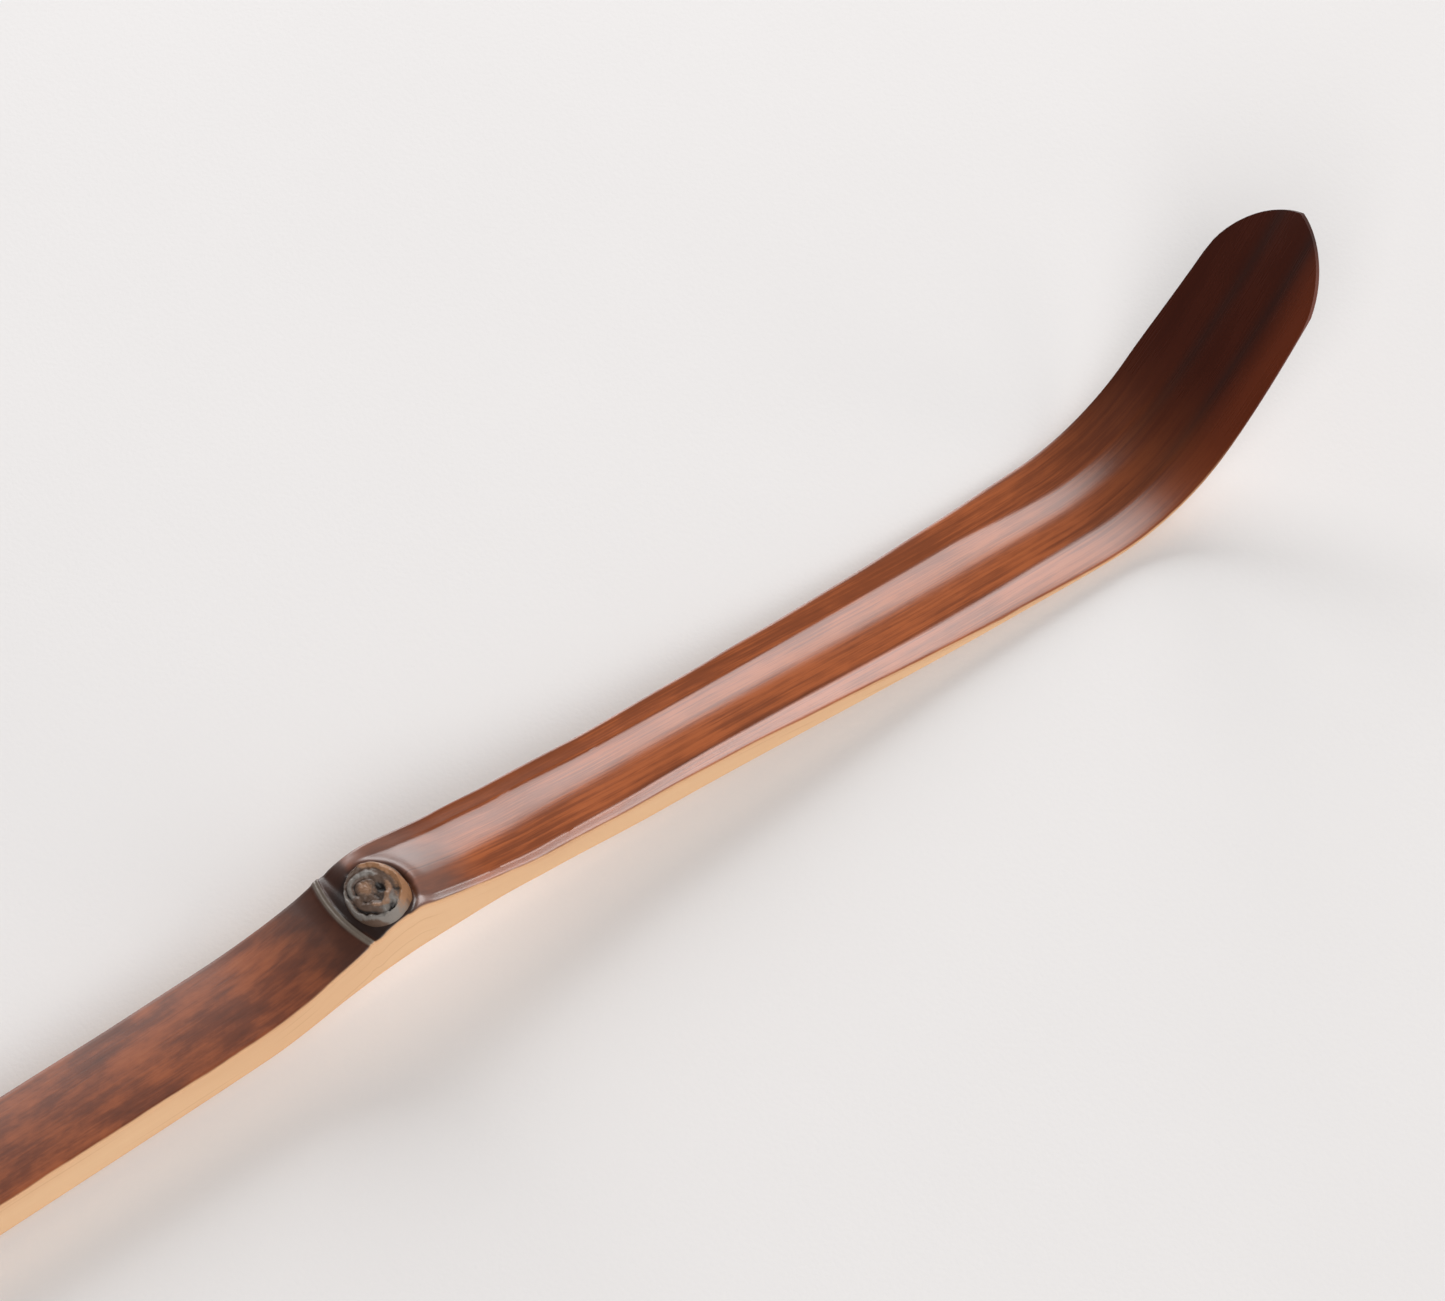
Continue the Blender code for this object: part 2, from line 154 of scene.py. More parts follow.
class Graph:
    """The shader of one finish, a Principled surface whose varying inputs the finish wires up."""

    def __init__(self, name: str, even: Mapping[str, object]) -> None:
        """Starts a material.

        Args:
            name: The material's name.
            even: The shader's inputs that are the same all over the surface.
        """
        self.material = bpy.data.materials.new(name)
        self.material.use_nodes = True
        self.tree = self.material.node_tree
        self.shader = self.tree.nodes["Principled BSDF"]
        for socket, value in even.items():
            self.shader.inputs[socket].default_value = value

    def node(
        self,
        kind: str,
        settings: Mapping[str, object] | None = None,
        inputs: Mapping[object, object] | None = None,
        output: object = 0,
    ) -> Wire:
        """Adds one node of any type.

        Args:
            kind: The node's type.
            settings: Its settings, set before its sockets. The setting "stops" fills a ramp.
            inputs: Values or wires for its input sockets, by name or index.
            output: The output that is carried on.

        Returns:
            The wire that carries that output.
        """
        made = self.tree.nodes.new(kind)
        for name, value in (settings or {}).items():
            if name == "stops":
                self.fill_ramp(made.color_ramp, value)
            else:
                setattr(made, name, value)
        for name, value in (inputs or {}).items():
            if isinstance(value, Wire):
                self.tree.links.new(value.socket, made.inputs[name])
            else:
                made.inputs[name].default_value = value
        return Wire(self, made.outputs[output])

    @staticmethod
    def fill_ramp(ramp: bpy.types.ColorRamp, stops: Stops) -> None:
        """Sets the colours of a ramp.

        Args:
            ramp: The ramp, as new.
            stops: Each stop's place and colour.
        """
        while len(ramp.elements) < len(stops):
            ramp.elements.new(1.0)
        for element, (place, colour) in zip(ramp.elements, stops):
            element.position = place
            element.color = (*colour, 1.0)

    def attribute(self, name: str) -> tuple[Wire, Wire, Wire, Wire]:
        """Reads a vector that the mesh carries.

        Args:
            name: The attribute's name.

        Returns:
            The whole vector, and its three parts.
        """
        vector = self.node("ShaderNodeAttribute", {"attribute_name": name}, output="Vector")
        first = self.node("ShaderNodeSeparateXYZ", None, {0: vector})
        return vector, *(Wire(self, socket) for socket in first.socket.node.outputs)

    def scaled(self, vector: Wire, scale: Colour) -> Wire:
        """A place on the surface, counted in marks of a pattern."""
        return self.node("ShaderNodeVectorMath", {"operation": "MULTIPLY"}, {0: vector, 1: scale})

    def noise(self, vector: Wire, pattern: Pattern) -> Wire:
        """A cloudy pattern from 0 to 1 over the places that a vector gives."""
        place = self.scaled(vector, pattern.scale)
        layers = {"Detail": pattern.layers, "Roughness": pattern.strength}
        return self.node("ShaderNodeTexNoise", None, {"Vector": place, "Scale": 1.0, **layers})

    def cells(self, vector: Wire, pattern: Pattern) -> Wire:
        """Distance to the nearest of many scattered points."""
        inputs = {"Vector": self.scaled(vector, pattern.scale), "Scale": 1.0}
        return self.node("ShaderNodeTexVoronoi", None, inputs, "Distance")

    def step(self, value: Wire, span: Span) -> Wire:
        """A soft step, 0 before a span and 1 past it; a span may run from high to low."""
        inputs = {"Value": value, "From Min": span[0], "From Max": span[1]}
        return self.node("ShaderNodeMapRange", {"interpolation_type": "SMOOTHSTEP"}, inputs)

    def band(self, value: Wire, centre: object, half: float, soft: float) -> Wire:
        """A band that is 1 within half its width of a centre, with soft edges of one width."""
        return self.step(abs(value - centre), (half + 0.5 * soft, half - 0.5 * soft))

    def ramp(self, value: Wire, stops: Stops) -> Wire:
        """Turns a value into a colour."""
        return self.node("ShaderNodeValToRGB", {"stops": stops}, {0: value})

    def lay(
        self, below: object, above: object, factor: object, blend: Blend = Blend.COVER
    ) -> Wire:
        """Lays one colour over another.

        Args:
            below: The colour below, a wire or a colour.
            above: The colour laid over it.
            factor: How much of it shows.
            blend: How it is laid.

        Returns:
            The wire that carries the result.
        """
        layers = {6: below, 7: above}
        inputs = {key: (*it, 1.0) if isinstance(it, tuple) else it for key, it in layers.items()}
        settings = {"data_type": "RGBA", "blend_type": blend.value}
        return self.node("ShaderNodeMix", settings, {0: factor, **inputs}, 2)

    def finish(
        self, varying: Mapping[str, Wire], height: Wire, relief: float
    ) -> bpy.types.Material:
        """Wires what varies into the shader.

        Args:
            varying: Wires for the shader's inputs.
            height: The fine relief, from 0 to 1.
            relief: How high that relief stands, in metres.

        Returns:
            The finished material.
        """
        inputs = {"Strength": 1.0, "Distance": relief, "Height": height}
        bump = self.node("ShaderNodeBump", None, inputs)
        for socket, wire in {**varying, "Normal": bump}.items():
            self.tree.links.new(wire.socket, self.shader.inputs[socket])
        return self.material


def ease(t: np.ndarray) -> np.ndarray:
    """Goes from 0 to 1 with a level start and end."""
    t = np.clip(t, 0.0, 1.0)
    return t * t * (3 - 2 * t)


def bell(value: np.ndarray, centre: float, half_width: float) -> np.ndarray:
    """A smooth hump of height 1 about its centre."""
    return np.exp(-(((value - centre) / half_width) ** 2))


def fair_curve(places: Sequence[float], values: Sequence[float]) -> Curve:
    """A smooth curve through the values that never runs past them, as a batten bent round pins.

    Args:
        places: Where the values stand, in rising order.
        values: The values.

    Returns:
        A function that gives the height of the curve at any places.
    """
    along, heights = np.array(places), np.array(values)
    spans = np.diff(along)
    rises = np.diff(heights) / spans
    before, after = rises[:-1], rises[1:]
    product = before * after
    total = np.where(product > 0, before + after, 1.0)
    slopes = np.concatenate([[0.0], np.where(product > 0, 2 * product / total, 0.0), [0.0]])

    def height(at: np.ndarray) -> np.ndarray:
        """The curve's height at these places."""
        span = np.clip(np.searchsorted(along, at, side="left") - 1, 0, len(spans) - 1)
        t = np.clip((at - along[span]) / spans[span], 0.0, 1.0)
        start = heights[span] * (1 + 2 * t) * (1 - t) ** 2
        start = start + heights[span + 1] * t * t * (3 - 2 * t)
        turn = slopes[span] * t * (1 - t) ** 2 - slopes[span + 1] * t * t * (1 - t)
        return start + spans[span] * turn

    return height


def waves(*terms: tuple[np.ndarray, float, float]) -> np.ndarray:
    """An unevenness: the mean of waves, each with its values, turns a unit and phase."""
    parts = [np.sin(2 * math.pi * turns * value + phase) for value, turns, phase in terms]
    return sum(parts) / len(parts)


@dataclass(frozen=True)
class Station:
    """The sizes of the strip's section at one place along it."""

    at: float
    width: float
    side: float
    arch: float
    belly: float
    crown: float
    groove: float
    far_rim: float
    near_rim: float
    ridge: float


@dataclass(frozen=True)
class StripSizes:
    """The driving sizes of the strip, the same as the frame's.

    Lengths run from the sheath scar, and arches are shares of the arch's rise.
    """

    handle_length: float = 80.0 * MM
    heel_length: float = 9.0 * MM
    neck_length: float = 10.0 * MM
    swelling_crest: float = 3.5 * MM
    groove_start: float = 6.4 * MM
    arch_peak: float = 11.0 * MM
    shoulder_length: float = 5.0 * MM
    flare_start: float = 26.0 * MM
    low_stem: float = 10.0 * MM
    stem_length: float = 70.1 * MM
    bend_radius: float = 16.5 * MM
    bend_angle: float = math.radians(46)
    blade_length: float = 18.8 * MM
    blade_curl: float = math.radians(12)
    tip_rounding: float = 6.0 * MM
    tip_point: float = 1.6 * MM
    handle_width: float = 7.8 * MM
    node_width: float = 7.35 * MM
    stem_width: float = 8.1 * MM
    blade_width: float = 12.19 * MM
    tip_taper: float = 1.3 * MM
    handle_side: float = 3.2 * MM
    node_side: float = 4.75 * MM
    stem_side: float = 2.2 * MM
    bend_side: float = 0.4 * MM
    tip_side: float = 0.45 * MM
    side_lean: float = 0.15 * MM
    arch_rise: float = 3.65 * MM
    handle_crown: float = 0.25 * MM
    node_crown: float = 0.5 * MM
    far_rim: float = 1.0 * MM
    near_rim: float = 1.1 * MM
    flare_rim: float = 1.3 * MM
    low_far_rim: float = 2.1 * MM
    low_near_rim: float = 3.0 * MM
    blade_rim: float = 3.6 * MM
    ridge_start: float = -1.1 * MM
    low_ridge: float = 0.2 * MM
    groove_depth: float = 0.6 * MM
    blade_groove_depth: float = 0.3 * MM
    blade_dish: float = 0.35 * MM
    ridge_drop: float = 0.1 * MM
    crest_rounding: float = 0.25
    scar_bow: float = 0.6 * MM
    scar_reach: float = 2.2 * MM
    node_aside: float = 0.15 * MM
    far_groove_lead: float = 1.6 * MM
    node_reach: float = 4.0 * MM

    @property
    def bend_length(self) -> float:
        """Length of the strip round its bend."""
        return self.bend_radius * self.bend_angle

    @property
    def tip_at(self) -> float:
        """Length from the sheath scar to the tip."""
        return self.stem_length + self.bend_length + self.blade_length

    def stations(self) -> list[Station]:
        """The sections that the strip is faired through.

        Returns:
            The sections, from the cut end to the tip.
        """
        rims = {"far_rim": self.far_rim, "near_rim": self.near_rim, "ridge": self.ridge_start}
        even = {"far_rim": self.blade_rim, "near_rim": self.blade_rim, "ridge": 0.0}
        plain = {"crown": self.handle_crown, "groove": 0.0, **rims}
        grooved = {"crown": 0.0, "groove": self.groove_depth}
        heel_at = self.heel_length - self.handle_length
        return [
            Station(
                at=-self.handle_length, width=self.handle_width - 0.3 * MM,
                side=self.handle_side + 0.1 * MM, arch=0.0, belly=0.0, **plain,
            ),
            Station(
                at=heel_at, width=self.handle_width,
                side=self.handle_side + 0.2 * MM, arch=0.0, belly=0.0, **plain,
            ),
            Station(
                at=0.5 * (heel_at - self.neck_length), width=self.handle_width - 0.1 * MM,
                side=self.handle_side + 0.4 * MM, arch=0.3, belly=0.3 * MM, **plain,
            ),
            Station(
                at=-self.neck_length, width=self.handle_width,
                side=self.handle_side, arch=0.52, belly=0.3 * MM, **plain,
            ),
            Station(
                at=-self.scar_reach, width=self.node_width,
                side=self.handle_side + 0.5 * MM, arch=0.72, belly=0.35 * MM, **plain,
            ),
            Station(
                at=self.swelling_crest, width=self.node_width,
                side=self.node_side, arch=0.9, belly=0.4 * MM,
                crown=self.node_crown, groove=0.0, **rims,
            ),
            Station(
                at=self.groove_start, width=self.node_width + 0.2 * MM,
                side=self.node_side - 0.75 * MM, arch=0.97, belly=0.4 * MM,
                crown=0.5 * self.node_crown, groove=self.groove_depth, **rims,
            ),
            Station(
                at=self.arch_peak, width=self.stem_width - 0.3 * MM,
                side=self.stem_side + 0.6 * MM, arch=1.0, belly=0.4 * MM,
                far_rim=self.far_rim, near_rim=self.near_rim,
                ridge=0.6 * self.ridge_start, **grooved,
            ),
            Station(
                at=self.arch_peak + self.shoulder_length, width=self.stem_width,
                side=self.stem_side, arch=0.9, belly=0.45 * MM,
                far_rim=self.far_rim + 0.1 * MM, near_rim=self.near_rim + 0.1 * MM,
                ridge=0.3 * self.ridge_start, **grooved,
            ),
            Station(
                at=self.flare_start, width=self.stem_width + 0.1 * MM,
                side=self.stem_side, arch=0.56, belly=0.5 * MM,
                far_rim=self.flare_rim, near_rim=self.flare_rim + 0.2 * MM,
                ridge=0.0, **grooved,
            ),
            Station(
                at=self.stem_length - self.low_stem, width=self.blade_width - 1.3 * MM,
                side=self.bend_side + 0.3 * MM, arch=0.03, belly=0.7 * MM,
                far_rim=self.low_far_rim, near_rim=self.low_near_rim,
                ridge=self.low_ridge, **grooved,
            ),
            Station(
                at=self.stem_length, width=self.blade_width - 0.4 * MM,
                side=self.bend_side, arch=0.0, belly=0.75 * MM,
                crown=-0.5 * self.blade_dish, groove=self.groove_depth,
                far_rim=self.blade_rim - 0.5 * MM, near_rim=self.blade_rim, ridge=self.low_ridge,
            ),
            Station(
                at=self.stem_length + self.bend_length, width=self.blade_width,
                side=self.bend_side, arch=0.0, belly=0.7 * MM,
                crown=-self.blade_dish, groove=self.blade_groove_depth, **even,
            ),
            Station(
                at=self.tip_at, width=self.blade_width - self.tip_taper,
                side=self.tip_side, arch=0.0, belly=0.25 * MM,
                crown=-0.5 * self.blade_dish, groove=0.4 * self.blade_groove_depth, **even,
            ),
        ]


@dataclass(frozen=True)
class BudPlace:
    """Where the branch bud sits on the node, its oval shape and its lean towards the handle.

    Round it the skin sinks in a crevice ahead of the bud, stands up in a collar past that, and
    sinks in a shallow hollow between the bud and the sheath scar.
    """

    radius: float = 2.3 * MM
    stretch: float = 1.15
    ahead_of_scar: float = 2.5 * MM
    off_centre: float = 0.8 * MM
    lean: float = math.radians(20)
    crevice_depth: float = 0.5 * MM
    crevice_gap: float = 0.15 * MM
    crevice_width: float = 0.3 * MM
    crevice_turn: float = 0.3
    crevice_fade: float = 0.6
    collar_height: float = 0.09 * MM
    collar_gap: float = 0.9 * MM
    collar_width: float = 0.5 * MM
    collar_from: float = 2.0 * MM
    hollow_depth: float = 0.14 * MM
    hollow_at: float = 0.8 * MM
    hollow_width: float = 0.4 * MM


@dataclass(frozen=True)
class ScarLip:
    """One raised line of the sheath scar: its place, height, half width and raggedness."""

    at: float
    height: float
    half_width: float
    ragged: float = 0.0


@dataclass(frozen=True)
class KnifeWork:
    """The scar's lips, the worn arrises and the knife's shallow hollows in the pared sides."""

    lips: tuple[ScarLip, ...] = (
        ScarLip(at=-0.15 * MM, height=0.17 * MM, half_width=0.17 * MM, ragged=0.02 * MM),
        ScarLip(at=0.17 * MM, height=0.13 * MM, half_width=0.13 * MM, ragged=-0.02 * MM),
        ScarLip(at=0.0, height=0.05 * MM, half_width=0.45 * MM),
    )
    arris_depth: float = 0.07 * MM
    arris_width: float = 0.1 * MM
    arris_share: float = 0.15
    hollow: float = 0.035 * MM


class Strip:
    """The strip as a surface: a place along, across and below its skin gives a point in space.

    Only points past the wall share of the half width lie on the pared sides.
    """

    wall_share: float = 0.999

    def __init__(
        self, sizes: StripSizes, bud: BudPlace, knife: KnifeWork, cut_end: float
    ) -> None:
        """Fairs the strip's sizes along its length.

        Args:
            sizes: The driving sizes.
            bud: The place of the branch bud, which the skin sinks and swells round.
            knife: The fine relief of the scar, the arrises and the pared sides.
            cut_end: Where the handle's cut end stands along X in the frame.
        """
        self.sizes = sizes
        self.bud = bud
        self.knife = knife
        self.shift = cut_end + sizes.handle_length
        stations = sizes.stations()
        along = [station.at for station in stations]
        self.lines = {
            item.name: fair_curve(along, [getattr(station, item.name) for station in stations])
            for item in fields(Station)
            if item.name != "at"
        }

    def back_line(
        self, at: np.ndarray, arch: np.ndarray
    ) -> tuple[np.ndarray, np.ndarray, np.ndarray]:
        """The underside's centre line.

        Args:
            at: Lengths along the strip.
            arch: The arch's share of its rise at each.

        Returns:
            Its X, its Z and the slope of the strip at each length.
        """
        sizes = self.sizes
        turned = np.clip((at - sizes.stem_length) / sizes.bend_radius, 0.0, sizes.bend_angle)
        beyond = np.maximum(at - sizes.stem_length - sizes.bend_length, 0.0)
        curl_radius = sizes.blade_length / sizes.blade_curl
        slope = turned + beyond / curl_radius
        x = np.minimum(at, sizes.stem_length) + sizes.bend_radius * np.sin(turned)
        x = x + curl_radius * (np.sin(slope) - np.sin(turned))
        z = arch * sizes.arch_rise + sizes.bend_radius * (1 - np.cos(turned))
        z = z + curl_radius * (np.cos(turned) - np.cos(slope))
        return x, z, slope

    def scar_curve(self, at: np.ndarray, share: np.ndarray) -> np.ndarray:
        """How far the sheath scar and what is near it bow towards the handle."""
        return self.sizes.scar_bow * bell(at, 0.0, self.sizes.scar_reach) * (1 - share * share)

    def set_back(self, at: np.ndarray, share: np.ndarray) -> np.ndarray:
        """How far a section's points lie behind the section.

        Args:
            at: Lengths along the strip.
            share: Shares of its half width.

        Returns:
            The distances, for the scar's bow and for the blunt pointed tip.
        """
        sizes = self.sizes
        rounding = sizes.tip_rounding * (1 - np.sqrt(np.maximum(1 - share * share, 0.0)))
        tip_zone = 2 * (sizes.tip_rounding + sizes.tip_point)
        blunt = rounding + sizes.tip_point * np.abs(share)
        near_tip = ease((at - sizes.tip_at + tip_zone) / tip_zone)
        return self.scar_curve(at, share) + blunt * near_tip

    def wall(self, t: np.ndarray) -> np.ndarray:
        """A straight wall from 0 to 1 whose start is rounded."""
        start = self.sizes.crest_rounding
        return (np.hypot(t, start) - start) / (math.hypot(1.0, start) - start)

    def grooved(self, across: np.ndarray, size: Mapping[str, np.ndarray]) -> np.ndarray:
        """How far the grooves lower the skin: sharp valleys and a rounded ridge between them.

        Args:
            across: Places across the skin.
            size: The section's sizes at each place.

        Returns:
            The drop below an ungrooved skin.
        """
        half, depth, ridge = 0.5 * size["width"], size["groove"], size["ridge"]
        far_valley, near_valley = half - size["far_rim"], size["near_rim"] - half
        far = depth * self.wall((half - across) / size["far_rim"])
        near = depth * self.wall((half + across) / size["near_rim"])
        ridge_top = depth * self.sizes.ridge_drop / self.sizes.groove_depth
        valley = np.where(across > ridge, far_valley, near_valley)
        middle = ridge_top + (depth - ridge_top) * self.wall((across - ridge) / (valley - ridge))
        return np.where(across >= far_valley, far, np.where(across <= near_valley, near, middle))

    def round_bud(self, at: np.ndarray, across: np.ndarray) -> np.ndarray:
        """How far the skin stands up or sinks round the branch bud.

        Args:
            at: Lengths along the strip.
            across: Places across the skin.

        Returns:
            The height of the collar, less the crevice and the hollow behind the bud.
        """
        bud = self.bud
        along, aside = at - bud.ahead_of_scar, (across + bud.off_centre) / bud.stretch
        reach = np.hypot(along, aside)
        turned = (along + bud.crevice_turn * aside) / np.maximum(reach, 0.001 * MM)
        ahead = np.clip(turned, 0.0, 1.0) ** bud.crevice_fade
        crevice = bud.crevice_depth * ahead
        crevice = crevice * bell(reach, bud.radius + bud.crevice_gap, bud.crevice_width)
        collar = bud.collar_height * ease(at / bud.collar_from)
        collar = collar * bell(reach, bud.radius + bud.collar_gap, bud.collar_width)
        hollow = bud.hollow_depth * bell(at, bud.hollow_at, bud.hollow_width)
        return collar - crevice - hollow

    def scar_lips(self, at: np.ndarray, across: np.ndarray) -> np.ndarray:
        """Height of the sheath scar: two thin ragged lips on a low foot, a fine gap between.

        Args:
            at: Lengths along the strip.
            across: Places across the skin.

        Returns:
            The height at each place.
        """
        wide = across / MM
        ragged = waves((wide, 0.41, 0.4), (wide, 1.13, 2.0), (wide, 2.9, 1.0))
        return sum(
            (lip.height + lip.ragged * ragged) * bell(at, lip.at, lip.half_width)
            for lip in self.knife.lips
        )

    def carry(
        self, at: np.ndarray, share: np.ndarray, depth: np.ndarray
    ) -> tuple[np.ndarray, np.ndarray]:
        """Carries places on a flat blank to the carved strip.

        Args:
            at: Lengths along the strip.
            share: Shares of its half width, 1 at the +Y arris and -1 at the -Y arris.
            depth: Shares of the way down from the skin, 0, to the underside, 1.

        Returns:
            The points in space, and for each the place along, across and below the skin, in
            millimetres, that the finish reads.
        """
        sizes = self.sizes
        place = at - self.set_back(at, share)
        from_scar = place + self.scar_curve(at, share)
        size = {name: line(place) for name, line in self.lines.items()}
        half = 0.5 * size["width"]
        across = share * half
        lead = sizes.far_groove_lead * ease(share + 0.5)
        size["groove"] = self.lines["groove"](place + lead)
        skin = size["side"] + size["crown"] * (1 - share * share) - self.grooved(across, size)
        skin = skin + self.scar_lips(from_scar, across) + self.round_bud(place, across)
        arris = bell(half - np.abs(across), 0.0, self.knife.arris_width)
        worn = self.arris_rounding(size, place) * arris
        skin = skin - worn
        under = -size["belly"] * (1 - share * share)
        up = skin + depth * (under - skin)
        pared = sizes.side_lean * depth + self.paring(place, across, depth)
        spread = across - np.sign(across) * pared * (np.abs(share) > self.wall_share)
        spread = spread + sizes.node_aside * bell(place, 0.0, sizes.node_reach)
        x, z, slope = self.back_line(place, size["arch"])
        x = x + self.shift
        rise = size["belly"] + up
        points = np.stack([x - rise * np.sin(slope), spread, z + rise * np.cos(slope)], axis=-1)
        below = skin + worn * (across < 0) - up
        return points, np.stack([from_scar, across, below], axis=-1) / MM

    def arris_rounding(self, size: Mapping[str, np.ndarray], place: np.ndarray) -> np.ndarray:
        """How far the worn arris lies below a sharp one."""
        worn = 1 + 0.5 * waves((place / MM, 0.043, 0.7), (place / MM, 0.11, 2.1))
        return np.minimum(self.knife.arris_depth * worn, self.knife.arris_share * size["side"])

    def paring(self, place: np.ndarray, across: np.ndarray, depth: np.ndarray) -> np.ndarray:
        """The shallow hollows that the knife left on the pared sides.

        Args:
            place: Lengths along the strip.
            across: Places across it.
            depth: Shares of the way down from the skin.

        Returns:
            How far each place lies inside a flat side.
        """
        side, along = np.sign(across), place / MM
        strokes = waves((along, 0.061, 1.0 + side), (along, 0.147, 2.0 * side), (depth, 0.8, 0.3))
        down = np.sin(math.pi * np.clip(depth, 0.0, 1.0))
        return self.knife.hollow * (1 + strokes) * down


def deselect_all() -> None:
    """Leaves nothing selected, so that an operator acts only on what is added next."""
    if bpy.context.mode != "OBJECT":
        bpy.ops.object.mode_set(mode="OBJECT")
    bpy.ops.object.select_all(action="DESELECT")


def coordinates(mesh: bpy.types.Mesh) -> np.ndarray:
    """Reads a mesh's points.

    Args:
        mesh: The mesh.

    Returns:
        The points, one row each.
    """
    points = np.empty(len(mesh.vertices) * 3)
    mesh.vertices.foreach_get("co", points)
    return points.reshape(-1, 3)


def set_coordinates(mesh: bpy.types.Mesh, points: np.ndarray) -> None:
    """Moves the mesh's points."""
    mesh.vertices.foreach_set("co", points.reshape(-1))
    mesh.update()


def tell(mesh: bpy.types.Mesh, name: str, values: np.ndarray) -> None:
    """Stores a vector for each point as a named attribute, for the finish to read."""
    told = mesh.attributes.new(name, "FLOAT_VECTOR", "POINT")
    told.data.foreach_set("vector", values.reshape(-1))


def settle(
    piece: bpy.types.Object, material: bpy.types.Material, sharp: float
) -> bpy.types.Object:
    """Turns a piece's faces outwards, shades it, dresses it and gives it to the scoop's body.

    Args:
        piece: The finished piece.
        material: Its finish.
        sharp: The angle past which an edge is drawn sharp.

    Returns:
        The piece.
    """
    deselect_all()
    piece.select_set(True)
    bpy.context.view_layer.objects.active = piece
    bpy.ops.object.mode_set(mode="EDIT")
    bpy.ops.mesh.select_all(action="SELECT")
    bpy.ops.mesh.normals_make_consistent(inside=False)
    bpy.ops.object.mode_set(mode="OBJECT")
    bpy.ops.object.shade_smooth_by_angle(angle=sharp)
    piece.data.materials.clear()
    piece.data.materials.append(material)
    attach(piece, BODY)
    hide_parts(SCOOP_NODE)
    LOG.info("%s: %d faces", piece.name, len(piece.data.polygons))
    return piece


@dataclass(frozen=True)
class Reading:
    """What the finish reads on the strip: the place, as a whole and in parts, and the grain."""

    graph: Graph
    place: Wire
    along: Wire
    across: Wire
    depth: Wire
    grain: Wire

    def noise(self, pattern: Pattern) -> Wire:
        """A cloudy pattern over the strip."""
        return self.graph.noise(self.place, pattern)

    def lengthwise(self, span: Span) -> Wire:
        """A soft step along the strip."""
        return self.graph.step(self.along, span)

    def crosswise(self, span: Span) -> Wire:
        """A soft step across the strip."""
        return self.graph.step(self.across, span)

    def bundles(self, pattern: Pattern, span: Span) -> Wire:
        """Soft scattered spots, drawn out along the strip."""
        return self.graph.step(self.graph.cells(self.place, pattern), span)


